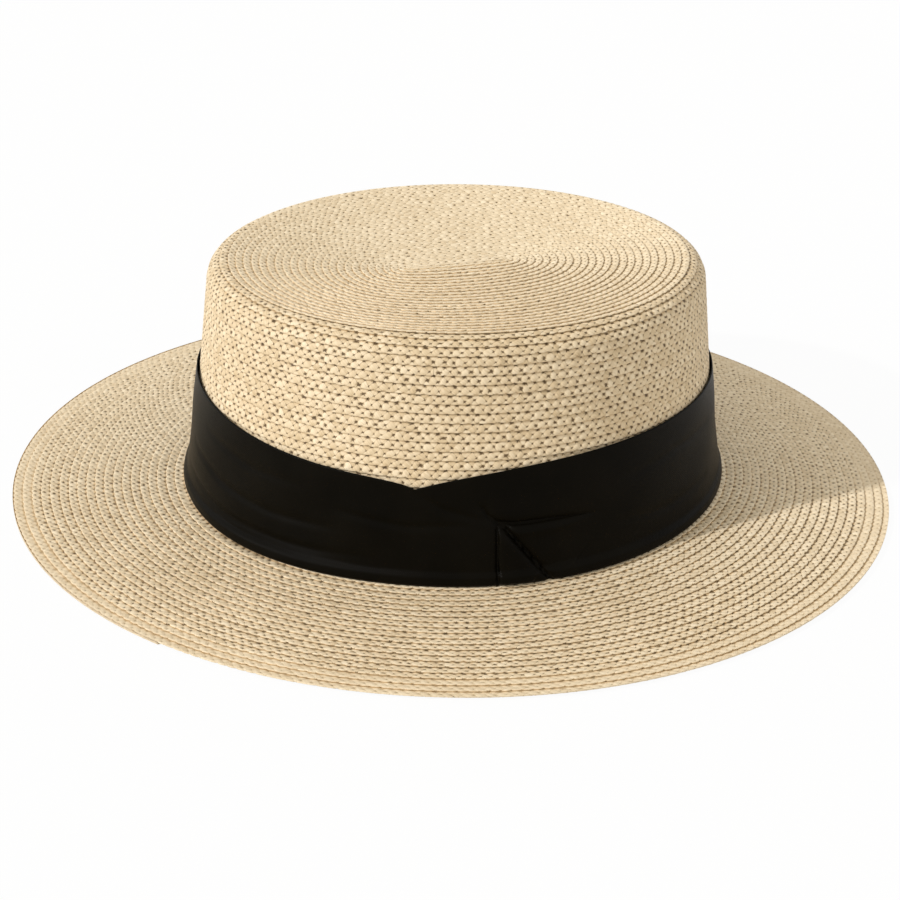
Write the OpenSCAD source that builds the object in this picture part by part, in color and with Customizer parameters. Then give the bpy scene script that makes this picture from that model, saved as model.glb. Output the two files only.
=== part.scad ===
// Straw sun hat: a flat-topped crown and a wide level brim of one long lapped
// braid, a black cloth band with a V-shaped dip, and a sweatband inside.
// +Z is up, the hat stands on its brim at z = 0, and its front points to -X.

/* [Head opening] */
// Inside length of the head opening, front to back
head_length = 189.6; // [175:0.2:215]
// Inside width of the head opening, side to side
head_width = 176.2; // [165:0.2:187]

/* [Straw] */
// Thickness of the straw, measured over the laps
straw_t = 2; // [1.6:0.1:3]
// Step where one row of braid laps over the next
lap_step = 0.7; // [0.3:0.05:0.75]
// Distance from one row of braid to the next
row_pitch = 3.2; // [2.6:0.1:5]

/* [Crown] */
// Height of the crown above the underside of the brim
crown_height = 85.2; // [60:0.2:120]
// How far the crown's side draws in, on each side, over its height
crown_taper = 9.8; // [3:0.2:18]
// Lean of the crown towards the front, in degrees
crown_lean = 0.9; // [0:0.1:1]
// Radius of the rounded corner between side and tip
corner_radius = 8; // [5:0.5:14]
// Depth of the shallow dish in the tip
tip_dish = 4.8; // [1:0.2:8]
// End radius of the folded start of the braid, in the middle of the tip
start_radius = 9; // [4:0.5:12]

/* [Brim] */
// Width of the brim, from the foot of the crown to the edge
brim_width = 63.9; // [40:0.5:90]
// Rise of the brim from its edge to the foot of the crown
brim_rise = 1.5; // [1.5:0.1:6]
// Radius of the turn from the crown's side into the brim
turn_radius = 5; // [3:0.5:7]
// Number of rows in the closed-up edge of the brim
edge_rows = 2; // [1:1:4]

/* [Hat band] */
// Height of the band's top edge above the brim's underside, on the near side
band_height = 43.6; // [36:0.2:55]
// How much higher the band's top edge is on the far side
band_back_rise = 1.5; // [0:0.5:6]
// Depth of the V in the band's top edge
notch_depth = 8.5; // [3:0.5:14]
// Length over which the V's front flank falls
notch_front = 95; // [50:1:110]
// Length over which the V's back flank rises
notch_back = 45; // [25:1:70]
// Direction of the V, in degrees round from the back of the hat
notch_angle = -111.5; // [-130:0.5:-80]
// How far the band stands off the straw at its lower edge
band_flare = 2.7; // [1.6:0.1:4]
// Thickness of the band at its top edge, cloth and turned hem together
band_t = 0.8; // [0.5:0.1:1.5]

/* [Band tuck] */
// Direction of the tuck's upright fold
tuck_angle = -97; // [-105:1:-90]
// Height of the upright fold
tuck_height = 19.5; // [10:0.5:26]
// Length of the crease along the tuck's top
tuck_length = 40; // [25:1:45]
// Rise of that crease, away from the upright fold
tuck_rise = 3; // [0:0.5:6]
// Length of the tuck along the band's lower edge
tuck_foot = 17; // [8:1:24]
// Thickness of the folded cloth of the tuck
tuck_t = 0.9; // [0.5:0.1:1.5]

/* [Sweatband] */
// Thickness of the sweatband
sweat_t = 1; // [0.6:0.1:2]
// Height of the sweatband
sweat_height = 32; // [20:1:45]
// Height of the sweatband's lower edge above the underside of the brim
sweat_lift = 1; // [0.8:0.1:3]
// Width of the sweatband's lapped end, at the back
join_width = 20; // [10:1:30]

/* [Hidden] */
$fn = 96;

straw_colour = [0.84, 0.74, 0.56];
edge_colour = [0.80, 0.69, 0.50];
cloth_colour = [0.03, 0.03, 0.035];
sweat_colour = [0.78, 0.70, 0.56];

clearance = 0.3;         // between cloth and straw
core_t = straw_t - lap_step;

// Base oval: the outside of the crown where its side would meet the brim's
// underside. A hat block is nearly round, so two half circles, drawn a little
// apart, stay within a millimetre of its shape.
base_a = head_length / 2 + sweat_t + clearance + straw_t;
base_b = head_width / 2 + sweat_t + clearance + straw_t;
end_radius = base_b;                  // radius of the half circles
end_shift = base_a - base_b;          // their centres, from the middle

// Heights and offsets of the side. An offset is measured from the base oval.
function side_offset(z) = -crown_taper * z / crown_height;
corner_z = crown_height - corner_radius;
corner_offset = side_offset(corner_z) - corner_radius;
start_offset = start_radius - end_radius;
edge_width = edge_rows * row_pitch;
edge_offset = brim_width - edge_width;
brim_top = brim_rise + straw_t;
seat_z = brim_top + turn_radius + row_pitch;     // brim's collar meets the side here
tip_span = corner_offset - start_offset;
tip_rows = max(2, round(tip_span / row_pitch));
corner_rows = max(2, round(corner_radius * PI / 2 / row_pitch));
side_rows = round((corner_z + brim_rise - seat_z) / row_pitch);
turn_rows = 3;
brim_rows = max(2, round((edge_offset - turn_radius) / row_pitch));

// Guide line of the straw's upper or outer face, as [offset, height] points,
// one at each lap, in the order in which the braid is sewn.
function dished(u) = crown_height - tip_dish * (1 - u * u);
tip_path = [for (i = [0:tip_rows]) [start_offset + tip_span * i / tip_rows, dished(i / tip_rows)]];
corner_path = [for (i = [1:corner_rows]) let (t = 90 - 90 * i / corner_rows)
    [corner_offset + corner_radius * cos(t), corner_z + corner_radius * sin(t)]];
side_pitch = (corner_z + brim_rise - seat_z) / side_rows;
side_path = [for (i = [0:side_rows + 1]) let (z = corner_z - side_pitch * i) [side_offset(z), z]];
collar_offset = side_offset(seat_z - brim_rise);
turn_path = [[collar_offset, seat_z], for (i = [0:turn_rows]) let (t = 180 + 90 * i / turn_rows)
    [collar_offset + turn_radius * (1 + cos(t)), brim_top + turn_radius * (1 + sin(t))]];
function brim_z(x) = brim_top - brim_rise * (x - turn_radius - collar_offset)
    / (edge_offset - turn_radius - collar_offset);
brim_path = [for (i = [1:brim_rows])
    let (x = collar_offset + turn_radius + (edge_offset - collar_offset - turn_radius) * i / brim_rows)
    [x, brim_z(x)]];

// Outline of a run of lapped rows along a guide line: each row starts one lap
// step below the line and ends on it, on its upper and its lower face alike.
function row_normal(a, b) = let (d = b - a) [-d[1], d[0]] / norm(d);
function lapped_rows(path) = let (last = len(path) - 2) concat(
    [for (i = [0:last]) let (n = row_normal(path[i], path[i + 1]))
        each [path[i] - lap_step * n, path[i + 1]]],
    [for (i = [last:-1:0]) let (n = row_normal(path[i], path[i + 1]))
        each [path[i + 1] - core_t * n, path[i] - straw_t * n]]);

// Sweeps an [offset, height] outline once round the oval: half a turn at each
// end, and a short straight part along each side.
module oval_sweep(outline) {
    for (side = [0, 180]) {
        rotate([0, 0, side])
            translate([end_shift, 0, 0])
                rotate([0, 0, -90])
                    rotate_extrude(angle = 180)
                        translate([end_radius, 0])
                            polygon(outline);
        rotate([0, 0, side])
            translate([-end_shift, 0, 0])
                rotate([90, 0, 90])
                    linear_extrude(2 * end_shift)
                        translate([end_radius, 0])
                            polygon(outline);
    }
}

// Flat plate with the oval's outline at a given offset.
module oval_plate(offset_d, height) {
    r = end_radius + offset_d;
    linear_extrude(height) {
        translate([-end_shift, -r])
            square([2 * end_shift, 2 * r]);
        for (end = [-end_shift, end_shift])
            translate([end, 0])
                circle(r);
    }
}

// Places the crown: its base plane leans about the middle of the hat.
module on_crown() {
    translate([0, 0, brim_rise])
        rotate([0, -crown_lean, 0])
            children();
}

// Everything below a level height, to cut leaning pieces flat.
module below(z) {
    size = 2 * (base_a + brim_width);
    translate([-size / 2, -size / 2, z - size])
        cube(size);
}

// ---- straw ----

fold_length = 2 * (end_shift + start_radius) - row_pitch;
fold_z = dished(0) - lap_step;
fold_lap = row_pitch / 2;    // the start fold laps this far over the first row

module tip_start_fold() {
    color(straw_colour)
        on_crown()
            translate([0, 0, fold_z]) {
                oval_plate(start_offset, core_t);
                // the two runs of the hairpin fold, one lapped on the other
                translate([0, 0, core_t])
                    linear_extrude(lap_step) {
                        translate([-(fold_length - row_pitch) / 2, 0])
                            square([fold_length - row_pitch, row_pitch]);
                        translate([-(fold_length - row_pitch) / 2, row_pitch / 2])
                            circle(row_pitch / 2);
                    }
            }
}

// The first row has a ledge, which the start fold lies on.
ledge = [[start_offset - fold_lap, fold_z - core_t], [start_offset - fold_lap, fold_z]];

module tip_braid() {
    color(straw_colour)
        on_crown()
            oval_sweep(concat(lapped_rows(concat(tip_path, corner_path)), ledge));
}

module crown_wall_braid() {
    color(straw_colour)
        difference() {
            on_crown()
                oval_sweep(lapped_rows(side_path));
            below(seat_z);
        }
}

module brim_braid() {
    color(straw_colour)
        oval_sweep(lapped_rows(concat(turn_path, brim_path)));
}

// The last rows are sewn close, so the edge is smooth on top and flat below.
edge_round = straw_t / 4;
edge_outline = [[edge_offset, 0], [brim_width - edge_round, 0], [brim_width, edge_round],
                [brim_width, straw_t - edge_round], [brim_width - edge_round, straw_t],
                [edge_offset + edge_width / 2, straw_t],
                [edge_offset + edge_width / 2, straw_t - lap_step / 2],
                [edge_offset, straw_t - lap_step / 2]];

module brim_edge_braid() {
    color(edge_colour)
        oval_sweep(edge_outline);
}

// ---- hat band ----

band_low = brim_top + clearance;   // level of the band's lower edge
band_top = band_height + band_back_rise;

// Across the band: the inside follows the straw and the outside leans out
// towards the lower edge, where the cloth rides over the turn of the brim.
function band_in(z) = side_offset(z) + clearance;
band_belly = band_height * 0.3;
band_outline = [[band_in(0), 0], [band_in(0) + band_flare, 0],
                [band_in(band_belly) + band_flare * 0.8, band_belly],
                [band_in(band_top) + band_t, band_top], [band_in(band_top), band_top]];

// Removes what stands above the band's top edge: a slant from the near side to
// the far side, and the V.
module above_band() {
    reach = 2 * base_a;
    tilt = atan(band_back_rise / (2 * base_b));
    translate([0, 0, band_height + band_back_rise / 2])
        rotate([tilt, 0, 0])
            translate([-reach, -reach, 0])
                cube(2 * reach);
    rotate([0, 0, notch_angle])
        rotate([90, 0, 90])
            linear_extrude(reach)
                polygon([[0, band_height - notch_depth], [notch_back, band_height],
                         [notch_back, 2 * band_height], [-notch_front, 2 * band_height],
                         [-notch_front, band_height]]);
}

// The turn of the brim that the band's lower edge lies over.
turn_clear = [[collar_offset - straw_t, 0],
              each [for (p = turn_path) p + [clearance, clearance]],
              [collar_offset + 2 * turn_radius, brim_top + clearance],
              [collar_offset + 2 * turn_radius, 0]];

module hat_band() {
    color(cloth_colour)
        difference() {
            on_crown()
                difference() {
                    oval_sweep(band_outline);
                    above_band();
                }
            below(band_low);
            oval_sweep(turn_clear);
        }
}

// The tuck lies on the band: a folded tongue of cloth with an upright fold at
// one end, a crease along its top and a slanting fold back to the lower edge.
tuck_outline = [[band_in(0) + band_flare, 0],
                [band_in(band_belly) + band_flare * 0.8, band_belly],
                [band_in(band_top) + band_t, band_top],
                [band_in(band_top) + band_t + tuck_t, band_top],
                [band_in(band_belly) + band_flare * 0.8 + tuck_t, band_belly],
                [band_in(0) + band_flare + tuck_t, 0]];

module hat_band_tuck() {
    color(cloth_colour)
        difference() {
            on_crown()
                intersection() {
                    oval_sweep(tuck_outline);
                    rotate([0, 0, tuck_angle])
                        rotate([90, 0, 90])
                            linear_extrude(2 * base_a)
                                polygon([[0, 0], [tuck_foot, 0],
                                         [tuck_length, band_low + tuck_height + tuck_rise],
                                         [0, band_low + tuck_height]]);
                }
            below(band_low);
        }
}

// ---- sweatband ----

function sweat_out(z) = side_offset(z) - straw_t - clearance;
sweat_top = sweat_lift + sweat_height;
sweat_outline = [[sweat_out(sweat_lift) - sweat_t, sweat_lift], [sweat_out(sweat_lift), sweat_lift],
                 [sweat_out(sweat_top), sweat_top], [sweat_out(sweat_top) - sweat_t, sweat_top]];

module sweatband() {
    color(sweat_colour)
        on_crown()
            oval_sweep(sweat_outline);
}

// The lapped end covers the sweatband's seam at the back.
join_outline = [for (p = sweat_outline) p - [sweat_t, 0]];

module sweatband_join() {
    color(sweat_colour)
        on_crown()
            intersection() {
                oval_sweep(join_outline);
                translate([0, -join_width / 2, 0])
                    cube([2 * base_a, join_width, crown_height]);
            }
}

tip_start_fold();
tip_braid();
crown_wall_braid();
brim_braid();
brim_edge_braid();
hat_band();
hat_band_tuck();
sweatband();
sweatband_join();
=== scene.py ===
# %% [markdown]
# # A straw sun hat
# The hat is one long flat braid, sewn to itself in a spiral: it starts as a
# narrow fold in the middle of the tip, runs out over the tip, down the side and
# out over the brim. A black cloth band lies round the crown, and a ribbon inside
# takes the wearer's forehead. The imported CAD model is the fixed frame, and each
# piece made here stands for the CAD nodes of the same place.

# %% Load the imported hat
import math

import bpy
import numpy as np
from mathutils import Matrix, Vector


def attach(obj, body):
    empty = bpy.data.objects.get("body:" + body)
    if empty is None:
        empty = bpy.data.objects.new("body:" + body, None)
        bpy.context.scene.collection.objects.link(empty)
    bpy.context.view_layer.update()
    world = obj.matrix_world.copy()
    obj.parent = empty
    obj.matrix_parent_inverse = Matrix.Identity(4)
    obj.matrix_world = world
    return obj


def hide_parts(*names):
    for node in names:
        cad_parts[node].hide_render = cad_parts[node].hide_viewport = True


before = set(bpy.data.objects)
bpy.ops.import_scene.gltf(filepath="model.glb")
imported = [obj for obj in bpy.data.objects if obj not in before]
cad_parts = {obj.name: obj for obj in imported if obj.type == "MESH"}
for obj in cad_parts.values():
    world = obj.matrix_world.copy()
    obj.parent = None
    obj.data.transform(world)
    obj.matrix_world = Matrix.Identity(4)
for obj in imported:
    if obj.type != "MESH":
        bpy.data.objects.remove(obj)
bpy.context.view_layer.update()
MM = 0.001  # sizes below are in millimetres
print("CAD nodes:", sorted(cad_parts))

# %% [markdown]
# ## The camera
# The camera stands at the hat's left, a little to its front, about 30 cm above
# the surface that the hat stands on. It has a place, a turn from +Y, a tilt down
# and a slight roll, set by fitting the outlines of brim, band and crown. +Z is
# up, -X is the front of the hat, and the hat stands on its brim at Z = 0.

# %% Camera
EYE = Vector((-174.2, -570.0, 299.2)) * MM
TURN, DOWN, ROLL = math.radians(16.83), math.radians(26.13), math.radians(1.93)

camera_data = bpy.data.cameras.new("camera")
camera_data.sensor_width = 36
camera_data.lens = 70.4
camera_data.clip_start = 0.01
camera = bpy.data.objects.new("camera", camera_data)
camera.matrix_world = (
    Matrix.Translation(EYE)
    @ Matrix.Rotation(-TURN, 4, "Z")
    @ Matrix.Rotation(math.pi / 2 - DOWN, 4, "X")
    @ Matrix.Rotation(ROLL, 4, "Z")
)
bpy.context.scene.collection.objects.link(camera)
bpy.context.scene.camera = camera

# %% [markdown]
# ## Light, floor and background
# The photograph has one soft lamp from the hat's front left and an even, bright
# room. Here the room is the world's colour, and the lamp is a sun two degrees
# wide, about four times the real one, so that the crown's shadow on the brim has
# a soft edge. Together they light a level surface at about 1, so that a colour
# renders as it is written.

# %% Light
scene = bpy.context.scene
scene.view_settings.view_transform = "Standard"

LAMP_TRAVEL = Vector((0.980, 0.199, -0.649)).normalized()  # about 33 degrees down
lamp_data = bpy.data.lights.new("lamp", "SUN")
lamp_data.energy = 2.1
lamp_data.angle = math.radians(2)
lamp_data.color = (1.0, 0.99, 0.985)
lamp = bpy.data.objects.new("lamp", lamp_data)
lamp.rotation_mode = "QUATERNION"
lamp.rotation_quaternion = LAMP_TRAVEL.to_track_quat("-Z", "Y")
bpy.context.scene.collection.objects.link(lamp)

ROOM_LEVEL = 0.66


def white_for_camera(tree, behind):
    """Links a shader that is plain white for what looks at it directly or in a
    reflection, and behind for all other light."""
    path = tree.nodes.new("ShaderNodeLightPath")
    seen = tree.nodes.new("ShaderNodeMath")
    seen.operation = "MAXIMUM"
    tree.links.new(path.outputs["Is Camera Ray"], seen.inputs[0])
    tree.links.new(path.outputs["Is Glossy Ray"], seen.inputs[1])
    also = tree.nodes.new("ShaderNodeMath")
    also.operation = "MAXIMUM"
    tree.links.new(seen.outputs[0], also.inputs[0])
    tree.links.new(path.outputs["Is Transmission Ray"], also.inputs[1])
    mix = tree.nodes.new("ShaderNodeMixShader")
    tree.links.new(also.outputs[0], mix.inputs[0])
    tree.links.new(behind, mix.inputs[1])
    return mix


world = bpy.data.worlds.new("room")
world.use_nodes = True
scene.world = world
tree = world.node_tree
tree.nodes.clear()
room = tree.nodes.new("ShaderNodeBackground")
room.inputs["Color"].default_value = (1.0, 0.965, 0.89, 1)
room.inputs["Strength"].default_value = ROOM_LEVEL
backdrop = tree.nodes.new("ShaderNodeBackground")
backdrop.inputs["Color"].default_value = (1, 1, 1, 1)
mix = white_for_camera(tree, room.outputs[0])
tree.links.new(backdrop.outputs[0], mix.inputs[2])
world_out = tree.nodes.new("ShaderNodeOutputWorld")
tree.links.new(mix.outputs[0], world_out.inputs[0])

# %% Floor
floor_mesh = bpy.data.meshes.new("floor")
half = 3.0
floor_mesh.from_pydata(
    [(-half, -half, 0), (half, -half, 0), (half, half, 0), (-half, half, 0)],
    [],
    [(0, 1, 2, 3)],
)
floor = bpy.data.objects.new("floor", floor_mesh)
floor.location.z = -0.0002
bpy.context.scene.collection.objects.link(floor)
floor_finish = bpy.data.materials.new("pale floor")
floor_finish.use_nodes = True
tree = floor_finish.node_tree
tree.nodes.clear()
plain = tree.nodes.new("ShaderNodeBsdfDiffuse")
plain.inputs["Color"].default_value = (0.86, 0.86, 0.86, 1)
glow = tree.nodes.new("ShaderNodeEmission")
glow.inputs["Color"].default_value = (1, 1, 1, 1)
shade = tree.nodes.new("ShaderNodeMixShader")  # a light shadow on a white floor
shade.inputs[0].default_value = 0.95
tree.links.new(plain.outputs[0], shade.inputs[1])
tree.links.new(glow.outputs[0], shade.inputs[2])
mix = white_for_camera(tree, plain.outputs[0])
tree.links.new(shade.outputs[0], mix.inputs[2])
floor_out = tree.nodes.new("ShaderNodeOutputMaterial")
tree.links.new(mix.outputs[0], floor_out.inputs[0])
floor_mesh.materials.append(floor_finish)

# %% [markdown]
# ## The shape that the braid follows
# All rows lie on one surface. It has two coordinates: how far out from the
# middle of the tip, s, measured in millimetres along tip, side and brim, and the
# angle round the hat. Seen from above the hat is an ellipse, and the side, the
# turn and the brim are offsets of that ellipse along its normals. The tip blends
# from the short straight line of the start fold to the ellipse.

# %% Sizes of the hat
BASE_A, BASE_B = 98.8, 92.1  # half length and half width at the crown's foot
CROWN_HEIGHT, TAPER = 85.2, 9.8
CORNER_RADIUS, TURN_RADIUS = 8.0, 5.0
TIP_DISH = 4.8
SPINE = 17.7  # half length of the start fold
BRIM_WIDTH, BRIM_RISE, STRAW = 63.9, 1.5, 2.0
LEAN = math.radians(0.9)

slope = math.atan(TAPER / CROWN_HEIGHT)
corner_z = CROWN_HEIGHT - CORNER_RADIUS
corner_d = -TAPER / CROWN_HEIGHT * corner_z - CORNER_RADIUS / math.cos(slope)
turn_z = STRAW + TURN_RADIUS
turn_d = -TAPER / CROWN_HEIGHT * turn_z + TURN_RADIUS / math.cos(slope)
TIP_REACH = BASE_B + corner_d  # s at the edge of the tip

# %% The line down the side and out over the brim
CORNER_POINTS = 40  # the turn into the brim starts at the point with this number
corner_turn = np.linspace(0, math.pi / 2 - slope, CORNER_POINTS)
brim_turn = np.linspace(math.pi + slope, math.pi * 1.5, 30)
line_d = np.concatenate([
    corner_d + CORNER_RADIUS * np.sin(corner_turn),
    turn_d + TURN_RADIUS * np.cos(brim_turn),
    [BRIM_WIDTH],
])
line_z = np.concatenate([
    corner_z + CORNER_RADIUS * np.cos(corner_turn),
    turn_z + TURN_RADIUS * np.sin(brim_turn),
    [STRAW - BRIM_RISE],
])
line_s = TIP_REACH + np.concatenate([[0], np.cumsum(np.hypot(np.diff(line_d), np.diff(line_z)))])
TURN_START, TURN_END, EDGE = line_s[CORNER_POINTS], line_s[-2], line_s[-1]
print(f"from the middle of the tip to the brim's edge: {EDGE:.1f} mm")


def lean_over(x, y, z, share=1.0):
    """Turns crown points about the middle of the hat by a share of its lean, and
    lifts them to the level of the crown's foot."""
    a = LEAN * share
    return np.stack([x * np.cos(a) - z * np.sin(a), y, x * np.sin(a) + z * np.cos(a) + BRIM_RISE], -1)


def oval(angle, offset):
    """Point at an offset from the base ellipse, along its normal."""
    c, s = np.cos(angle), np.sin(angle)
    length = np.hypot(BASE_B * c, BASE_A * s)
    return BASE_A * c + offset * BASE_B * c / length, BASE_B * s + offset * BASE_A * s / length


def hat_surface(s, angle):
    """Point of the hat's outside at distance s and angle. On the tip it is a
    weighted mean of a point on the start fold's line and one on the tip's edge,
    in a shallow dish. Beyond, it is the base ellipse offset by the side's line.
    The lean fades out over the brim, whose edge is level."""
    u = np.clip(s / TIP_REACH, 0, 1)
    c = np.cos(angle)
    x, y = oval(angle, np.interp(s, line_s, line_d))
    x = u * x + (1 - u) * SPINE * (1.5 * c - 0.5 * c**3)
    y = u * y
    z = np.where(s < TIP_REACH, CROWN_HEIGHT - TIP_DISH * (1 - u**2), np.interp(s, line_s, line_z))
    out = np.clip((s - TURN_END) / (EDGE - TURN_END), 0, 1)
    return lean_over(x, y, z, 1 - out**2 * (3 - 2 * out))


def surface_normal(s, angle):
    """Outward normal: the cross product of the surface's two directions."""
    along_s = hat_surface(s + 0.2, angle) - hat_surface(np.maximum(s - 0.2, 0.01), angle)
    along_a = hat_surface(s, angle + 0.002) - hat_surface(s, angle - 0.002)
    n = np.cross(along_s, along_a)
    return n / np.linalg.norm(n, axis=-1, keepdims=True)


# %% [markdown]
# ## From grids to pieces
# Each piece below is a tube: rings of points, one behind the other. The helper
# joins neighbouring rings with four-sided faces, closes the ends with a fan, and
# turns all faces outwards if the enclosed volume comes out negative.

# %% Tube helper
def tube_faces(rings, around, closed):
    """Point numbers of a tube's faces, for rings of around points each."""
    ring = np.arange(rings if closed else rings - 1)[:, None]
    side = np.arange(around)[None, :]
    next_ring, next_side = (ring + 1) % rings, (side + 1) % around
    quads = np.stack([
        ring * around + side,
        ring * around + next_side,
        next_ring * around + next_side,
        next_ring * around + side,
    ], -1).reshape(-1, 4)
    if closed:
        return quads, np.zeros((0, 3), int)
    first, last = rings * around, rings * around + 1
    side = np.arange(around)
    following = (side + 1) % around
    start = np.stack([np.full(around, first), following, side], -1)
    end = (rings - 1) * around
    finish = np.stack([np.full(around, last), end + side, end + following], -1)
    return quads, np.concatenate([start, finish])


def enclosed_volume(points, quads, fans):
    """Signed volume: the sum over all triangles of a corner times the cross
    product of the other two, over six."""
    tris = np.concatenate([quads[:, [0, 1, 2]], quads[:, [0, 2, 3]], fans])
    a, b, c = (points[tris[:, k]] for k in range(3))
    return float((a * np.cross(b, c)).sum() / 6)


def tube_piece(name, rings, pattern, finish, closed=False):
    """Makes a piece from rings of points, (rings, around, 3) in millimetres.
    pattern holds each point's place in the weave, for the piece's UV map."""
    count, around = rings.shape[:2]
    points = rings.reshape(-1, 3)
    uv = pattern.reshape(-1, 2)
    quads, fans = tube_faces(count, around, closed)
    if not closed:
        points = np.concatenate([points, rings[:1].mean(1), rings[-1:].mean(1)])
        uv = np.concatenate([uv, pattern[:1].mean(1), pattern[-1:].mean(1)])
    if enclosed_volume(points, quads, fans) < 0:
        quads, fans = quads[:, ::-1], fans[:, ::-1]
    corners = np.concatenate([quads.ravel(), fans.ravel()]).astype(np.int32)
    starts = np.concatenate([
        np.arange(len(quads)) * 4,
        len(quads) * 4 + np.arange(len(fans)) * 3,
    ]).astype(np.int32)
    mesh = bpy.data.meshes.new(name)
    mesh.vertices.add(len(points))
    mesh.vertices.foreach_set("co", (points * MM).astype(np.float32).ravel())
    mesh.loops.add(len(corners))
    mesh.loops.foreach_set("vertex_index", corners)
    mesh.polygons.add(len(starts))
    mesh.polygons.foreach_set("loop_start", starts)
    mesh.polygons.foreach_set("use_smooth", np.ones(len(starts), bool))
    mesh.update(calc_edges=True)
    places = uv[corners]
    if closed:  # the last faces end at the pattern's full length, and not at its start
        wrapped = corners.reshape(-1, 4)
        late = np.arange(len(wrapped)) >= (count - 1) * around
        back = late[:, None] & (wrapped < around)
        places = places.reshape(-1, 4, 2)
        places[..., 0] = np.where(back, places[..., 0] + pattern_length(pattern), places[..., 0])
        places = places.reshape(-1, 2)
    mesh.uv_layers.new(name="weave")
    mesh.uv_layers["weave"].uv.foreach_set("vector", places.astype(np.float32).ravel())
    mesh.materials.append(finish)
    piece = bpy.data.objects.new(name, mesh)
    bpy.context.scene.collection.objects.link(piece)
    return piece


def pattern_length(pattern):
    """Length of a closed pattern: its last place plus one step."""
    along = pattern[:, 0, 0]
    return along[-1] + (along[-1] - along[-2]) - along[0]


# %% [markdown]
# ## Straw
# The braid is a plain weave of flat paper strands that run at 45 degrees to its
# edges. The finish works the weave out from the piece's UV map, which holds
# millimetres along and across the braid: turned by 45 degrees, the two
# coordinates count the strands of each direction, and a chequer says which of
# them is on top. That gives each strand a rounded top and a tone of its own.
# The holes between strands, the gaps where a strand dives under the crossing
# one and a dashed line under each lap are darkened in the colour, as painted
# shade. A plainer form of the formula in numpy, with even holes, gives the mesh
# its relief.

# %% Maths nodes, written as calls
class NodeMaths:
    """Adds maths nodes to a material's tree, one for each call."""

    def __init__(self, tree):
        self.tree = tree

    def __call__(self, operation, *values):
        node = self.tree.nodes.new("ShaderNodeMath")
        node.operation = operation
        for socket, value in zip(node.inputs, values):
            if isinstance(value, (int, float)):
                socket.default_value = value
            else:
                self.tree.links.new(value, socket)
        return node.outputs[0]


def new_finish(name, roughness, **sockets):
    """A material with a Principled shader, its tree and a maths helper."""
    finish = bpy.data.materials.new(name)
    finish.use_nodes = True
    tree = finish.node_tree
    shader = tree.nodes["Principled BSDF"]
    shader.inputs["Roughness"].default_value = roughness
    for socket, value in sockets.items():
        shader.inputs[socket.replace("_", " ")].default_value = value
    return finish, tree, shader, NodeMaths(tree)


def colour_ramp(tree, factor, *stops):
    """Colours between stops of (place, red, green, blue)."""
    ramp = tree.nodes.new("ShaderNodeValToRGB")
    ramp.color_ramp.elements.remove(ramp.color_ramp.elements[0])
    for k, (place, *colour) in enumerate(stops):
        element = ramp.color_ramp.elements[0] if k == 0 else ramp.color_ramp.elements.new(place)
        element.position = place
        element.color = (*colour, 1)
    tree.links.new(factor, ramp.inputs[0])
    return ramp.outputs[0]


LOBE = 3.3  # length of one lobe of the braid's edge
STRAND = LOBE / math.sqrt(2)  # width of a strand
PERIOD = 2 * LOBE  # of the weave, along the braid
STEP = LOBE / 6  # mesh step along the braid
SHIFT = 0.45  # of the weave's middle line from the braid's, towards the tuck


def weave_height(along, across):
    """Height of the weave from 0 to 1. In each square between strand edges the
    upper strand arches along its run and is almost flat across. At the corners
    of the squares, where four strands leave a hole, the height falls to 0."""
    p, q = (along + across) / math.sqrt(2) / STRAND, (along - across) / math.sqrt(2) / STRAND
    fp, fq = p - np.floor(p), q - np.floor(q)
    over = (np.floor(p) + np.floor(q)) % 2 < 0.5
    side, run = np.where(over, fp, fq), np.where(over, fq, fp)
    strand = (0.45 + 0.55 * np.sin(np.pi * run) ** 0.7) * (0.8 + 0.2 * np.sin(np.pi * side))
    corner = np.hypot(p - np.round(p), q - np.round(q))
    return strand * np.clip(corner / 0.34, 0, 1) ** 0.6


DARK, MID, PALE = (0.11, 0.065, 0.024), (0.66, 0.505, 0.305), (0.98, 0.84, 0.62)


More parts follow.
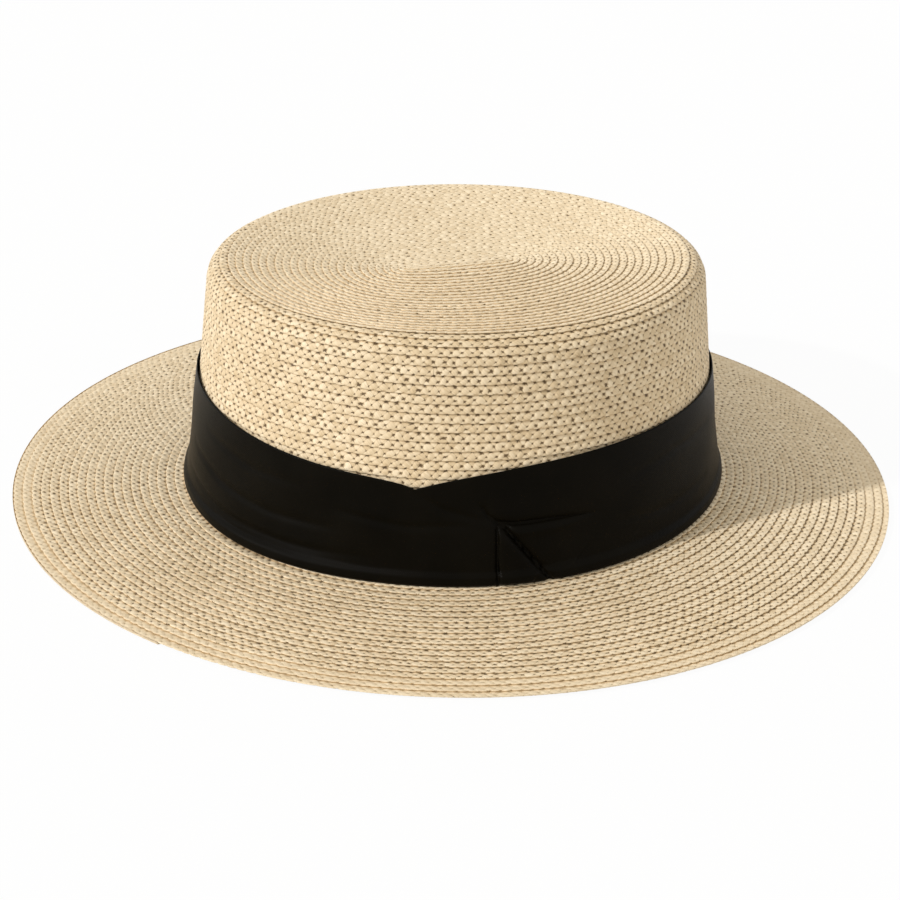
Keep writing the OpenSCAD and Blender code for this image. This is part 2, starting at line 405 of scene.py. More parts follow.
def straw_finish(name, brightness, tone_and_gap_shade, lap_shade, relief):
    """Straw with the weave of weave_height. brightness is the strands' usual
    place between DARK and PALE. The second number sets both the spread of tone
    between the squares of the weave and the depth of the painted shade in the
    holes and where strands dive under each other. lap_shade is the depth of the
    painted shade in the dashed line under each lap, and relief the bump's height
    in metres."""
    finish, tree, shader, m = new_finish(name, 0.62)
    uv = tree.nodes.new("ShaderNodeUVMap")
    uv.uv_map = "weave"
    split = tree.nodes.new("ShaderNodeSeparateXYZ")
    tree.links.new(uv.outputs[0], split.inputs[0])
    along, across = split.outputs[0], split.outputs[1]
    p = m("DIVIDE", m("ADD", along, across), math.sqrt(2) * STRAND)
    q = m("DIVIDE", m("SUBTRACT", along, across), math.sqrt(2) * STRAND)
    fp, fq, ip, iq = m("FRACT", p), m("FRACT", q), m("FLOOR", p), m("FLOOR", q)
    over = m("LESS_THAN", m("FLOORED_MODULO", m("ADD", ip, iq), 2), 0.5)

    def pick(a, b):
        """a where the first strand is on top, and b elsewhere."""
        return m("ADD", m("MULTIPLY", over, a), m("MULTIPLY", m("SUBTRACT", 1, over), b))

    def random_of(a, b):
        """A random number from 0 to 1 for each pair of whole numbers."""
        noise = tree.nodes.new("ShaderNodeTexWhiteNoise")
        noise.noise_dimensions = "2D"
        pair = tree.nodes.new("ShaderNodeCombineXYZ")
        tree.links.new(a, pair.inputs[0])
        tree.links.new(b, pair.inputs[1])
        tree.links.new(pair.outputs[0], noise.inputs["Vector"])
        return noise.outputs["Value"]

    side, run = pick(fp, fq), pick(fq, fp)
    strand = pick(m("MULTIPLY", ip, 1.37), m("ADD", m("MULTIPLY", iq, 1.71), 0.5))
    dome = m("ADD", m("MULTIPLY", m("SINE", m("MULTIPLY", side, math.pi)), 0.2), 0.8)
    arch = m("ADD", m("MULTIPLY", m("POWER", m("SINE", m("MULTIPLY", run, math.pi)), 0.7), 0.55), 0.45)

    # holes at the corners of the squares, each with a reach of its own, and largest
    # on the weave's middle line, which lies right at the lap; the bump sinks there,
    # and the darkness they get in the colour is painted shade
    corner_p, corner_q = m("ROUND", p), m("ROUND", q)
    dp, dq = m("SUBTRACT", p, corner_p), m("SUBTRACT", q, corner_q)
    middle = m("LESS_THAN", m("ABSOLUTE", m("SUBTRACT", corner_p, corner_q)), 0.5)
    reach = m("MULTIPLY", m("POWER", random_of(corner_p, corner_q), 1.6), 0.28)
    reach = m("ADD", m("ADD", 0.08, reach), m("MULTIPLY", middle, 0.10))
    # they are longer than high, and frayed by a noise
    level_part, upright_part = m("ADD", dp, dq), m("SUBTRACT", dp, dq)
    corner = m("SQRT", m("ADD", m("MULTIPLY", m("MULTIPLY", level_part, level_part), 0.30),
                         m("MULTIPLY", m("MULTIPLY", upright_part, upright_part), 0.75)))
    fray_place = tree.nodes.new("ShaderNodeCombineXYZ")
    tree.links.new(along, fray_place.inputs[0])
    tree.links.new(across, fray_place.inputs[1])
    fray = tree.nodes.new("ShaderNodeTexNoise")
    fray.inputs["Scale"].default_value = 2.4
    fray.inputs["Detail"].default_value = 2.0
    tree.links.new(fray_place.outputs[0], fray.inputs["Vector"])
    corner = m("ADD", corner, m("MULTIPLY", m("SUBTRACT", fray.outputs["Fac"], 0.5), 0.45))
    corner = m("MAXIMUM", corner, 0)
    hole = m("SUBTRACT", 1, m("SMOOTH_MIN", m("DIVIDE", corner, reach), 1.0, 0.2))
    hole = m("MAXIMUM", hole, 0)
    height = m("MULTIPLY", m("MULTIPLY", dome, arch), m("SUBTRACT", 1, hole))

    tone = tree.nodes.new("ShaderNodeTexWhiteNoise")
    tone.noise_dimensions = "1D"
    tree.links.new(strand, tone.inputs["W"])
    lengthwise = pick(m("MULTIPLY", q, 0.8), m("MULTIPLY", p, 0.8))
    fibre_place = tree.nodes.new("ShaderNodeCombineXYZ")
    tree.links.new(m("MULTIPLY", side, 7), fibre_place.inputs[0])
    tree.links.new(lengthwise, fibre_place.inputs[1])
    tree.links.new(strand, fibre_place.inputs[2])
    fibre = tree.nodes.new("ShaderNodeTexNoise")
    fibre.inputs["Scale"].default_value = 1.0
    fibre.inputs["Detail"].default_value = 2.0
    tree.links.new(fibre_place.outputs[0], fibre.inputs["Vector"])
    place = tree.nodes.new("ShaderNodeTexCoord")
    patches = tree.nodes.new("ShaderNodeTexNoise")
    patches.inputs["Scale"].default_value = 28.0
    patches.inputs["Detail"].default_value = 3.0
    tree.links.new(place.outputs["Object"], patches.inputs["Vector"])

    shade = m("ADD", m("MULTIPLY", m("SUBTRACT", tone.outputs["Value"], 0.5), 0.12),
              m("MULTIPLY", m("SUBTRACT", fibre.outputs["Fac"], 0.5), 0.6))
    shade = m("ADD", shade, m("MULTIPLY", m("SUBTRACT", random_of(ip, iq), 0.5), 0.28 * tone_and_gap_shade))
    shade = m("ADD", shade, m("MULTIPLY", m("SUBTRACT", patches.outputs["Fac"], 0.5), 0.22))
    # painted shadow along the ends of each square, where the strand on top dives under the crossing one,
    # strongest near the holes
    end = m("SUBTRACT", 0.5, m("ABSOLUTE", m("SUBTRACT", run, 0.5)))
    dive_shadow = m("MAXIMUM", m("SUBTRACT", 1, m("DIVIDE", end, 0.13)), 0)
    near = m("MAXIMUM", m("SUBTRACT", 1, m("DIVIDE", corner, m("ADD", 0.25, reach))), 0)
    dive_shadow = m("MULTIPLY", dive_shadow, m("ADD", 0.06, m("MULTIPLY", near, 0.9)))
    # painted shade in a dashed line under each lap, just beyond the edge of the row above, strongest at the
    # notches between that edge's lobes
    lap_line_shade = m("MINIMUM", m("MAXIMUM", m("DIVIDE", m("SUBTRACT", SHIFT - 0.1, across), 0.45), 0), 1)
    dash = m("ABSOLUTE", m("COSINE", m("MULTIPLY", along, math.pi / LOBE)))
    dash = m("MULTIPLY", m("ADD", 0.35, m("MULTIPLY", dash, 0.65)), lap_shade)
    lap_line_shade = m("MULTIPLY", lap_line_shade, dash)
    # the hole and dive shade add, and the deeper of that and the lap shade is taken off the strands' tone;
    # all of it is painted shade
    dark = m("ADD", m("MULTIPLY", hole, 1.05 * tone_and_gap_shade), m("MULTIPLY", dive_shadow, tone_and_gap_shade))
    dark = m("MAXIMUM", dark, lap_line_shade)
    level = m("SUBTRACT", m("ADD", brightness, shade), dark)
    colour = colour_ramp(tree, level, (0.0, *DARK), (0.45, *MID), (1.0, *PALE))
    tree.links.new(colour, shader.inputs["Base Color"])

    bump = tree.nodes.new("ShaderNodeBump")
    bump.inputs["Strength"].default_value = 1.0
    bump.inputs["Distance"].default_value = relief
    full = m("ADD", height, m("MULTIPLY", fibre.outputs["Fac"], 0.12))
    tree.links.new(full, bump.inputs["Height"])
    tree.links.new(bump.outputs[0], shader.inputs["Normal"])
    return finish


# brightness, tone and gap shade, lap shade and relief of each; the side is the
# same straw, and its lower brightness and deeper hole shade are painted shade on
# the upright side
tip_straw = straw_finish("straw of the tip", 0.76, 0.66, 0.34, 0.00018)
side_straw = straw_finish("straw of the side", 0.62, 0.95, 0.30, 0.00024)
brim_straw = straw_finish("straw of the brim", 0.79, 0.90, 0.56, 0.0002)
edge_straw = straw_finish("straw of the brim's edge", 0.79, 0.35, 0.40, 0.00014)

# %% [markdown]
# ## The sewn braid
# The rows are one continuous spiral: the braid's outer edge moves out by one row
# pitch per turn. The braid is sampled at equal steps of its own length, so that
# the weave keeps its size everywhere. Each ring of the tube is the braid's
# cross-section, 5 mm wide. Its inner part is tucked under the row before, and
# its outer edge lies on top of the row after, so the section climbs outwards.
# The outer edge is scalloped where strands turn back into the weave.

# %% Spiral
PITCH = 3.2
HALF_BRAID = 2.5
LAP_RISE, TIP_LAP_RISE = 0.85, 0.75  # climb of the braid over one pitch; the tip is pressed flatter
ROUNDING = 0.30  # fall of its outer edge, over the last 1.4 mm
BRAID_T = 0.85
TURNS = (EDGE + PITCH) / PITCH
wander = np.random.default_rng(58)
WAVES = [(wander.uniform(0.3, 6.3), wander.uniform(0, 6.28), wander.uniform(0.02, 0.05)) for _ in range(9)]
NOTCHES = wander.uniform(0.05, 0.6, 4096)  # depths of the gaps between the outer edge's lobes
SWAY = [(wander.uniform(0.5, 1.6), wander.uniform(-1.2, 1.2), wander.uniform(0, 6.28)) for _ in range(10)]


def outer_edge(angle):
    """Distance s of the braid's outer edge: one pitch per turn, with a slight
    wander like that of hand-guided sewing."""
    s = PITCH * angle / (2 * math.pi)
    wandering = sum(size * np.sin(rate * angle + phase) for rate, phase, size in WAVES)
    return s + wandering * np.clip((EDGE - s) / 6, 0, 1) * np.clip(s / 6, 0, 1)


table_angle = np.linspace(0, TURNS * 2 * math.pi, int(TURNS * 720))
table_point = hat_surface(np.clip(outer_edge(table_angle), 0.05, EDGE), table_angle)
table_length = np.concatenate([[0], np.cumsum(np.linalg.norm(np.diff(table_point, axis=0), axis=1))])
BRAID_LENGTH = table_length[-1]
print(f"braid: {TURNS:.0f} turns, {BRAID_LENGTH / 1000:.1f} m long")

# %% Cross-section of the braid, and a run of it
TOP_ACROSS = np.array([-2.3, -0.85, -0.45, 0.0, 0.45, 0.9, 1.35, 1.8, 2.2, 2.5])
UNDER_ACROSS = np.array([2.36, 0.3, -2.3])
# the dark line under the lap is painted shade in the finish
UNDER_WEAVE = np.array([2.36, -0.1, 2.5])  # places in the weave there, clear of the dark line under the lap


def swayed(along, across):
    """Place in the weave at a place on the braid: the two differ by a few tenths
    of a millimetre, a sum of sines, since no braid is perfectly even."""
    shift = sum(0.075 * np.sin(a * along + b * across + phase) for a, b, phase in SWAY)
    other = sum(0.06 * np.sin(b * along - a * across + phase) for a, b, phase in SWAY)
    return along + shift, across + SHIFT + other


def braid_run(name, first, last, finish, step, lap):
    """A run of the spiral between two lengths along the braid. A point is the
    hat surface at the braid's outer edge minus its distance from that edge,
    moved along the normal by the climb of the lap and the height of the weave."""
    first = round(first / PERIOD) * PERIOD
    last = min(round(last / PERIOD) * PERIOD, BRAID_LENGTH)
    along = np.linspace(first, last, round((last - first) / step) + 1)
    angle = np.interp(along, table_length, table_angle)[:, None]
    along = along[:, None]
    lobe = np.abs(np.sin(np.pi * along / LOBE)) ** 0.55 if step == STEP else np.ones_like(along)

    edge = HALF_BRAID - NOTCHES[np.round(along / LOBE).astype(int) % len(NOTCHES)] * (1 - lobe)
    top = np.minimum(TOP_ACROSS, edge - np.arange(len(TOP_ACROSS) - 1, -1, -1) * 0.06)
    relief = weave_height(*swayed(along, top)) if step == STEP else np.full(top.shape, 0.6)
    share = (edge - top) / PITCH
    climb = -lap * np.clip(share, 0, 1.35) - ROUNDING * np.clip(1 - share / 0.44, 0, 1) ** 2
    high = climb + 0.24 * (relief - 1) * np.clip(share / 0.1, 0.3, 1)
    under = np.broadcast_to(UNDER_ACROSS, (len(along), len(UNDER_ACROSS))).copy()
    under[:, :1] = edge - 0.1
    low = -lap * np.clip((HALF_BRAID - under) / PITCH, 0, 1.35) - BRAID_T
    low[:, :1] += 0.12

    across = np.concatenate([top, under], 1)
    rise = np.concatenate([high, low], 1)
    s = np.clip(outer_edge(angle) - (HALF_BRAID - across), 0.05, EDGE)
    angles = np.broadcast_to(angle, s.shape)
    rings = hat_surface(s, angles) + surface_normal(s, angles) * rise[..., None]
    rings[..., 2] = np.maximum(rings[..., 2], 0)  # the brim's edge lies flat on the table
    woven = np.concatenate([top, np.broadcast_to(UNDER_WEAVE, under.shape)], 1)
    weave_along, weave_across = swayed(np.broadcast_to(along, s.shape), woven)
    pattern = np.stack([weave_along - first, weave_across], -1)
    piece = tube_piece(name, rings, pattern, finish)
    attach(piece, "root")
    return piece


def length_at(s):
    """Length along the braid at which its outer edge reaches s."""
    return float(np.interp(s, outer_edge(table_angle), table_length))


# %% Runs of the braid, in the order of sewing
BAND_UPPER, BAND_LOWER = 34.0, 11.0  # heights between which the band hides the straw
HIDDEN_STEP = 2.2  # mesh step along the braid there


def side_s(z):
    """Distance s at a height on the crown's side."""
    return TURN_START - (z - line_z[CORNER_POINTS]) / math.cos(slope)


# from and to which distance s, in how many pieces, and with which mesh step
stops = {
    "tip": (0, TIP_REACH + 3, 3, STEP),
    "side": (TIP_REACH + 3, side_s(BAND_UPPER), 4, STEP),
    "side_under_band": (side_s(BAND_UPPER), side_s(BAND_LOWER), 1, HIDDEN_STEP),
    "brim": (side_s(BAND_LOWER), EDGE - 2 * PITCH, 7, STEP),
    "edge": (EDGE - 2 * PITCH, EDGE + PITCH, 2, STEP),
}
finishes = {
    "tip": tip_straw,
    "side": side_straw,
    "side_under_band": side_straw,
    "brim": brim_straw,
    "edge": edge_straw,
}
braid = {}
for part, (s_from, s_to, runs, step) in stops.items():
    ends = np.linspace(length_at(s_from), length_at(s_to), runs + 1)
    lap = TIP_LAP_RISE if part == "tip" else LAP_RISE
    braid[part] = [
        braid_run(f"braid_{part}_{k + 1}", ends[k], ends[k + 1], finishes[part], step, lap)
        for k in range(runs)
    ]
    for piece in braid[part]:
        print(piece.name, len(piece.data.polygons), "faces")

for piece in braid["tip"]:
    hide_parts("tip_braid")
for piece in braid["side"] + braid["side_under_band"]:
    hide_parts("crown_wall_braid")
for piece in braid["brim"]:
    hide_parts("brim_braid")
for piece in braid["edge"]:
    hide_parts("brim_edge_braid")

# %% [markdown]
# ## The start fold
# The sewer starts by folding the braid's end over and laying a short straight
# run along the middle of the tip. It is the same braid, so it has the same
# cross-section, here along a straight line and with rounded ends.

# %% Start fold
def start_fold():
    """The braid's section carried along a line of twice SPINE. At both ends the
    width follows a circle's chord."""
    along = np.arange(-SPINE - 2.2, SPINE + 2.2 + STEP, STEP)[:, None]
    width = np.sqrt(np.clip(1 - (np.clip(np.abs(along) - SPINE, 0, None) / 2.25) ** 2, 0.01, 1))
    top = np.broadcast_to(np.linspace(-2.5, 2.5, 11), (len(along), 11))
    lobe = np.abs(np.sin(np.pi * along / LOBE)) ** 0.55
    sides = 1 - 0.2 * (1 - lobe) * (np.abs(top) > 2.4)
    high = -0.55 + 0.24 * weave_height(along, top) - 0.4 * (np.abs(top) / 2.5) ** 3
    under = np.array([[2.3, 0, -2.3]]) * np.ones_like(along)
    across = np.concatenate([top * sides, under], 1)
    rise = np.concatenate([high, np.full(under.shape, -1.3)], 1)
    x = np.broadcast_to(along, across.shape)
    y = across * width
    z = CROWN_HEIGHT - TIP_DISH + rise + TIP_DISH * (y / TIP_REACH) ** 2
    rings = lean_over(x, y, z)
    return tube_piece("braid_start_fold", rings, np.stack([x, across], -1), tip_straw)


fold = start_fold()
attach(fold, "root")
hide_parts("tip_start_fold")

# %% [markdown]
# ## The cloth band
# A strip of black cloth lies round the crown's foot. Its top edge runs level
# round the hat but dips in a V on the near side, its lower edge stands a few
# millimetres off the straw with a soft rolled hem, and a small tuck gathers it
# behind the V. The strip is a grid of angle by height. A few sizes give the V and
# the flare, and each crease is a line between listed points, in degrees round
# the hat and millimetres up the crown. Creases push the surface in along their
# line, and bulges push it out beside them.

# %% Sizes and lines of the band
BAND_FOOT, BAND_TOP = 2.2, 45.0
V_PLACE = -111.6  # direction of the V's lowest point, in degrees
V_DROP, V_NICK = 8.0, 2.0  # fall of the top edge to the V, and of the nick at its end
LEFT_LEG, RIGHT_LEG, NICK_LEG = 75.0, 17.0, 3.0  # degrees over which these fade
FOOT_STAND = 2.9  # how far the lower edge stands off the crown's foot
BULGES = [(-147.0, 26.0, 1.9), (-78.0, 36.0, 1.5)]  # places, their spread, how much further off
GATHER = (-95.5, 22.5)  # the point that all folds of the tuck run to
FOLD_UPRIGHT = np.array([(-96.5, 21.0), (-96.5, 3.0)])
FOLD_RIGHT = np.array([GATHER, (-87.0, 22.5), (-78.0, 22.0)])
FOLD_SLANT = np.array([(-95.0, 21.5), (-87.0, 3.0)])
FOLD_LEFT = np.array([GATHER, (-98.0, 25.5), (-99.0, 28.5)])
MM_PER_DEGREE = 1.72


def counted_from(degrees, place):
    """Directions counted from a place, from -180 to 180 degrees."""
    return (degrees - place + 180) % 360 - 180


def top_edge(degrees):
    """Height of the top edge. Towards the V it falls in a straight line on the
    left, with a nick at the end, and along an exponential curve on the right."""
    x = counted_from(degrees, V_PLACE)
    left = V_DROP * np.clip(1 + x / LEFT_LEG, 0, 1) + V_NICK * np.exp(np.minimum(x, 0) / NICK_LEG)
    right = (V_DROP + V_NICK) * np.exp(-np.maximum(x, 0) / RIGHT_LEG)
    return BAND_TOP - np.where(x < 0, left, right)


def foot_flare(degrees):
    """How far the lower edge stands off: an even distance and a bell for each
    bulge."""
    return FOOT_STAND + sum(
        more * np.exp(-((counted_from(degrees, place) / spread) ** 2)) for place, spread, more in BULGES
    )


def line_distance(degrees, height, line):
    """Distance in millimetres on the cloth from a broken line, and the share of
    the line's length passed at the nearest point."""
    x, y = degrees * MM_PER_DEGREE, height
    best = np.full(np.broadcast(x, y).shape, 1e9)
    share = np.zeros_like(best)
    px, py = line[:, 0] * MM_PER_DEGREE, line[:, 1]
    lengths = np.hypot(np.diff(px), np.diff(py))
    done = 0.0
    for k in range(len(px) - 1):
        dx, dy = px[k + 1] - px[k], py[k + 1] - py[k]
        t = np.clip(((x - px[k]) * dx + (y - py[k]) * dy) / lengths[k] ** 2, 0, 1)
        ex, ey = x - px[k] - t * dx, y - py[k] - t * dy
        distance = np.hypot(ex, ey)
        near = distance < best
        best = np.where(near, distance, best)
        share = np.where(near, (done + t * lengths[k]) / lengths.sum(), share)
        done += lengths[k]
    return best, share


def groove(degrees, height, line, depth, width, fade=0.0):
    """A pressed crease: the cloth sinks by depth along a line, and comes back up
    exponentially on both sides, so that the bottom is a sharp valley."""
    distance, share = line_distance(degrees, height, line)
    return -depth * np.exp(-distance / width) * (1 - fade * share)


def soft_crease(degrees, height, line, depth, width):
    """A long crease that begins and ends at nothing."""
    distance, share = line_distance(degrees, height, line)
    return -depth * np.exp(-((distance / width) ** 2)) * (4 * share * (1 - share)) ** 0.8


# %% Shape of the band
LONG_CREASES = [  # points of each, its depth and its width
    (np.array([(-178.0, 24.0), (-160.0, 19.0), (-143.0, 17.5), (-126.0, 18.5)]), 0.55, 1.5),
    (np.array([(-170.0, 33.0), (-150.0, 30.0), (-134.0, 30.5)]), 0.40, 1.6),
    (np.array([(-182.0, 13.5), (-158.0, 9.5), (-138.0, 9.0), (-118.0, 10.5)]), 0.50, 1.4),
    (np.array([(-128.0, 25.0), (-113.0, 22.0), (-100.0, 23.0)]), 0.45, 1.3),
    (np.array([(-112.0, 34.0), (-106.0, 28.0), (-98.0, 24.0)]), 0.45, 1.2),
    (np.array([(-74.0, 17.0), (-58.0, 14.5), (-40.0, 15.0)]), 0.40, 1.6),
    (np.array([(-72.0, 31.0), (-55.0, 33.0), (-35.0, 32.0)]), 0.30, 1.5),
    (np.array([(-30.0, 24.0), (20.0, 20.0), (70.0, 22.0)]), 0.35, 1.8),
    (np.array([(100.0, 18.0), (130.0, 23.0), (158.0, 21.0)]), 0.35, 1.8),
]


def band_offset(degrees, height, top):
    """Offset of the cloth's outside from the base ellipse: the crown's slope, a
    flare that grows towards the foot and steps out at the hem's fold, a fullness
    round the gather, a hem that rolls in at the foot, and the creases."""
    wall = -TAPER / CROWN_HEIGHT * height
    up = np.clip((height - BAND_FOOT) / (top - BAND_FOOT), 0, 1)
    bend = np.clip((7.6 - height) / 2.2, 0, 1)  # a narrow step where the hem is folded
    bend = bend**2 * (3 - 2 * bend)
    flare = 0.9 + (foot_flare(degrees) - 0.9) * (0.64 * (1 - up) ** 2.0 + 0.36 * bend)
    gathered = np.hypot((degrees - GATHER[0]) * MM_PER_DEGREE, height - GATHER[1])
    flare = flare + 0.9 * np.exp(-((gathered / 14) ** 2))
    hem = np.clip(1 - (height - BAND_FOOT) / 1.5, 0, 1)
    rolled = -1.0 * hem**2
    slack = 0.28 * np.sin(degrees * 0.11 + height * 0.10) * np.sin(np.pi * up) + 0.16 * np.sin(
        degrees * 0.23 - height * 0.17 + 1.3) * np.sin(np.pi * up)
    folds = sum(soft_crease(degrees, height, *crease) for crease in LONG_CREASES)
    folds = folds + groove(degrees, height, FOLD_UPRIGHT, 1.0, 0.6)
    folds = folds + groove(degrees, height, FOLD_RIGHT, 2.0, 1.1, fade=0.8)
    folds = folds + groove(degrees, height, FOLD_SLANT, 2.2, 0.8)
    folds = folds + groove(degrees, height, FOLD_LEFT, 1.9, 1.0, fade=0.4)
    return wall + np.maximum(flare + rolled + slack + folds, 0.2)


def band_point(degrees, height, offset):
    """Point of the row frame at a direction, given by the base ellipse's normal,
    a height on the crown and an offset."""
    normal = np.radians(degrees)
    angle = np.arctan2(BASE_B * np.sin(normal), BASE_A * np.cos(normal))
    x, y = oval(angle, offset)
    return lean_over(x, y, height + 0 * x)


CLOTH_T = 0.45


def band_rings():
    """Rings of the band's cross-section: down the outside, round the hem, and up
    the inside, at directions that are closest together where it is creased."""
    middle = np.linspace(-205, 155, 901)[:-1]
    degrees = np.concatenate([middle, np.linspace(-104, -72, 180)])
    degrees = np.unique(np.append(degrees.round(4), V_PLACE))[:, None]
    top = top_edge(degrees)
    down = (1 - np.linspace(0, 1, 78)[None, :]) ** 1.25
    outside = BAND_FOOT + (top - BAND_FOOT) * down
    up = np.linspace(0, 1, 12)[None, :]
    inside = BAND_FOOT + 0.5 + (top - 0.1 - BAND_FOOT - 0.5) * up
    out_offset = band_offset(degrees, outside, top)
    in_offset = np.maximum(band_offset(degrees, inside, top) - CLOTH_T, 0.08 - TAPER / CROWN_HEIGHT * inside)
    heights = np.concatenate([outside, inside], 1)
    offsets = np.concatenate([out_offset, in_offset], 1)
    wide = np.broadcast_to(degrees, heights.shape)
    pattern = np.stack([wide * MM_PER_DEGREE, heights], -1)
    return band_point(wide, heights, offsets), pattern


# %% [markdown]
# The cloth is a fine plain weave, almost black, with a slight sheen where it is
# seen at a glancing angle. The threads are finer than the mesh, so they are a
# bump worked out from the UV map.

# %% Cloth finish
def cloth_finish(name, dark, light, thread, relief, roughness, sheen, gloss):
    """Plain woven cloth: two sets of rounded threads, from sines of the UV map's
    millimetres, with a soft change of tone."""
    finish, tree, shader, m = new_finish(name, roughness, Sheen_Weight=sheen, Sheen_Roughness=0.45)
    shader.inputs["Sheen Tint"].default_value = (1.0, 0.93, 0.84, 1)
    shader.inputs["Specular IOR Level"].default_value = gloss
    uv = tree.nodes.new("ShaderNodeUVMap")
    uv.uv_map = "weave"
    split = tree.nodes.new("ShaderNodeSeparateXYZ")
    tree.links.new(uv.outputs[0], split.inputs[0])
    warp = m("SINE", m("MULTIPLY", split.outputs[0], 2 * math.pi / thread))
    weft = m("SINE", m("MULTIPLY", split.outputs[1], 2 * math.pi / thread))
    weave = m("MULTIPLY", warp, weft)
    place = tree.nodes.new("ShaderNodeTexCoord")
    cloudy = tree.nodes.new("ShaderNodeTexNoise")
    cloudy.inputs["Scale"].default_value = 60.0
    cloudy.inputs["Detail"].default_value = 3.0
    tree.links.new(place.outputs["Object"], cloudy.inputs["Vector"])
    level = m("ADD", cloudy.outputs["Fac"], m("MULTIPLY", weave, 0.12))
    tree.links.new(colour_ramp(tree, level, (0.3, *dark), (0.75, *light)), shader.inputs["Base Color"])
    bump = tree.nodes.new("ShaderNodeBump")
    bump.inputs["Strength"].default_value = 0.7
    bump.inputs["Distance"].default_value = relief
    tree.links.new(weave, bump.inputs["Height"])
    tree.links.new(bump.outputs[0], shader.inputs["Normal"])
    return finish


black_cloth = cloth_finish(
    "black cloth", (0.0022, 0.0017, 0.0007), (0.0042, 0.0033, 0.0017),
    thread=0.7, relief=0.00005, roughness=0.36, sheen=0.003, gloss=0.036,
)
ribbon = cloth_finish(
    "sweatband ribbon", (0.50, 0.41, 0.29), (0.62, 0.52, 0.38),
    thread=0.9, relief=0.0001, roughness=0.85, sheen=0.15, gloss=0.3,
)

# %% Band
rings, pattern = band_rings()
band = tube_piece("band", rings, pattern, black_cloth, closed=True)
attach(band, "root")
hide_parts("hat_band")
print("band:", len(band.data.polygons), "faces")

# %% [markdown]
# ## The tuck
# Behind the V the cloth is gathered: it turns back at an upright fold, and the
# tongue of cloth lies on the band between a crease along its top and a slanting
# fold back to the lower edge. It is a grid between those lines, a little proud
# of the band, and thins out where it runs back into it.

# %% Tuck
TUCK_START = -96.3  # direction of its upright fold, in degrees
TUCK_LENGTH, TUCK_FOOT = 38.0, 17.0  # along its top crease, and along the band's lower edge
TUCK_LOW, TUCK_POINT = BAND_FOOT + 0.5, 21.2  # heights of its lower edge and of its point


def tuck_outline(x):
    """Heights of the tuck's upper and lower edge, at a distance in millimetres
    from its upright fold. The upper edge is the crease along the top. The lower
    edge is level along the foot, and then rises to the point as a power of 1.5."""
    upper = np.interp(TUCK_START + x / MM_PER_DEGREE, FOLD_RIGHT[:, 0], FOLD_RIGHT[:, 1])
    rise = np.clip((x - TUCK_FOOT) / (TUCK_LENGTH - TUCK_FOOT), 0, 1) ** 1.5
    return upper, np.minimum(TUCK_LOW + rise * (TUCK_POINT - TUCK_LOW), upper - 0.15)


def tuck_rings():
    """Rings across the tuck, from its upright fold to its point. Each ring goes
    down the outside and back up under it."""
    x = np.linspace(0, TUCK_LENGTH, 150)[:, None]
    degrees = TUCK_START + x / MM_PER_DEGREE
    upper, lower = tuck_outline(x)
    down = np.linspace(0, 1, 60)[None, :]
    outside = upper + (lower - upper) * down
    inside = lower + (upper - lower) * np.linspace(0, 1, 12)[None, :]
    wide = np.broadcast_to(degrees, outside.shape)
    top = top_edge(degrees)
    base = band_offset(wide, outside, top)
    fade = np.clip((36 - x) / 20, 0, 1)
    fade = fade**2 * (3 - 2 * fade)
    edge_in = np.clip(x / 0.8, 0, 1) ** 0.5
    reach = 0.05 + 0.75 * np.clip((x - 10) / 8, 0, 1)  # the lower edge blends in behind the slanting fold
    below = np.clip((1 - down) / reach, 0, 1)
    side_in = np.clip(down / 0.03, 0, 1) ** 0.5 * below**2 * (3 - 2 * below)
    slack = 0.55 * np.exp(-((down - 0.10) / 0.09) ** 2) * np.clip(x / 8, 0, 1)
    pressed = 1 + groove(wide, outside, FOLD_SLANT, 1.0, 0.8)  # nothing stands proud in the fold itself
    out_offset = base + (0.75 * edge_in * side_in + slack) * fade * pressed
    wide_in = np.broadcast_to(degrees, inside.shape)
    in_offset = band_offset(wide_in, inside, top) + 0.02
    heights = np.concatenate([outside, inside], 1)
    offsets = np.concatenate([np.maximum(out_offset, base + 0.03), in_offset], 1)
    wide = np.concatenate([wide, wide_in], 1)
    return band_point(wide, heights, offsets), np.stack([wide * MM_PER_DEGREE, heights], -1)


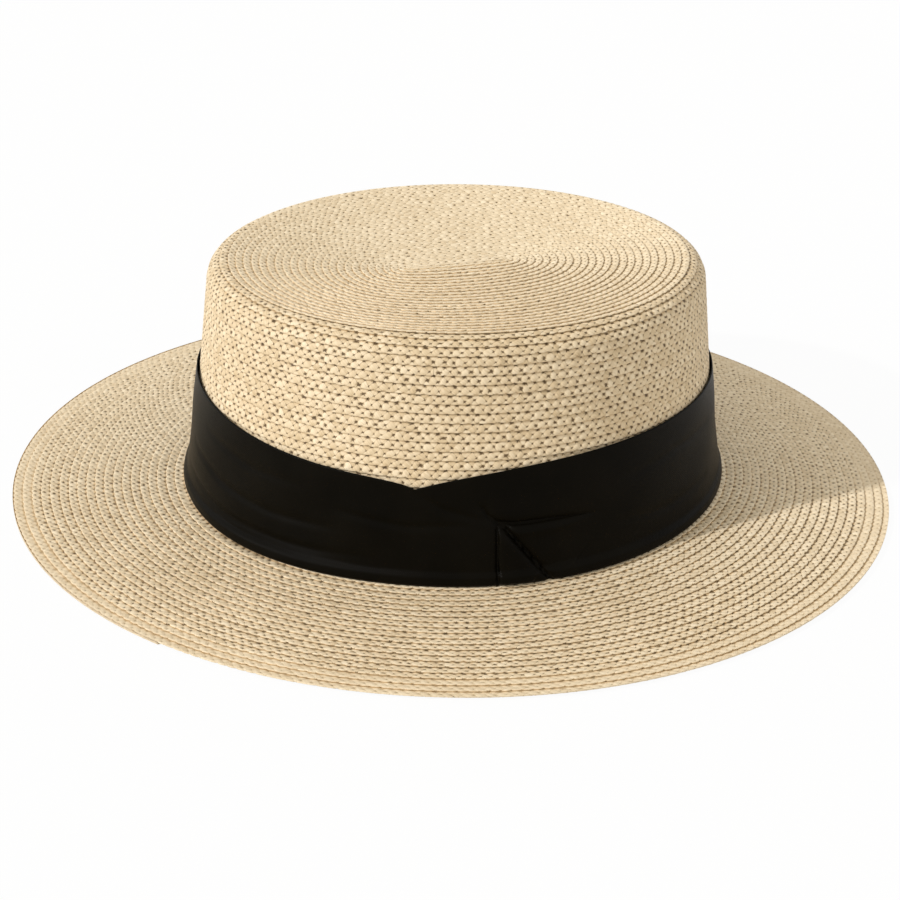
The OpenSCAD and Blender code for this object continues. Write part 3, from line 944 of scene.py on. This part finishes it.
rings, pattern = tuck_rings()
tuck = tube_piece("band_tuck", rings, pattern, black_cloth)
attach(tuck, "root")
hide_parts("hat_band_tuck")

# %% [markdown]
# ## The sweatband
# Inside the crown a ribbon is sewn round the foot of the side. Its ends lap at
# the back. The photograph doesn't show it, but a hat of this kind has one.

# %% Sweatband and its lapped end
SWEAT_T, SWEAT_LOW, SWEAT_HEIGHT = 1.0, 1.0, 32.0


def ribbon_rings(degrees, layer):
    """Rings of a ribbon's cross-section against the inside of the crown. layer
    counts the layers of ribbon between it and the straw."""
    up_and_down = np.concatenate([np.linspace(0, 1, 18), np.linspace(1, 0, 18)])[None, :]
    heights = SWEAT_LOW + SWEAT_HEIGHT * up_and_down
    face = np.concatenate([np.zeros(18), np.ones(18)])[None, :]
    soft = 0.12 * np.sin(np.radians(degrees * 9)) * np.clip((heights - 20) / 14, 0, 1)
    straw_inside = -TAPER / CROWN_HEIGHT * heights - STRAW - 0.35
    offset = straw_inside - SWEAT_T * 0.8 * (layer + face) - 0.05 * layer - soft - 0.12
    wide = np.broadcast_to(degrees, offset.shape)
    pattern = np.stack([wide * MM_PER_DEGREE, heights + 0 * wide], -1)
    return band_point(wide, heights + 0 * wide, offset), pattern


rings, pattern = ribbon_rings(np.linspace(0, 360, 361)[:-1, None], 0)
sweatband = tube_piece("sweatband_ribbon", rings, pattern, ribbon, closed=True)
rings, pattern = ribbon_rings(np.linspace(-6.0, 6.0, 25)[:, None], 1)
sweatband_end = tube_piece("sweatband_lapped_end", rings, pattern, ribbon)
for piece, node in ((sweatband, "sweatband"), (sweatband_end, "sweatband_join")):
    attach(piece, "root")
    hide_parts(node)

# %% [markdown]
# ## Sizes and the end
# The cloth pieces say how large they were cut.

# %% Cloth sizes
def cloth_area(piece):
    """Area of one face of a thin closed sheet, in square metres."""
    area = np.zeros(len(piece.data.polygons), np.float32)
    piece.data.polygons.foreach_get("area", area)
    return float(area.sum() / 2)


for piece in (band, tuck, sweatband, sweatband_end):
    print(piece.name, "area of one side:", round(cloth_area(piece), 5), "square metres")
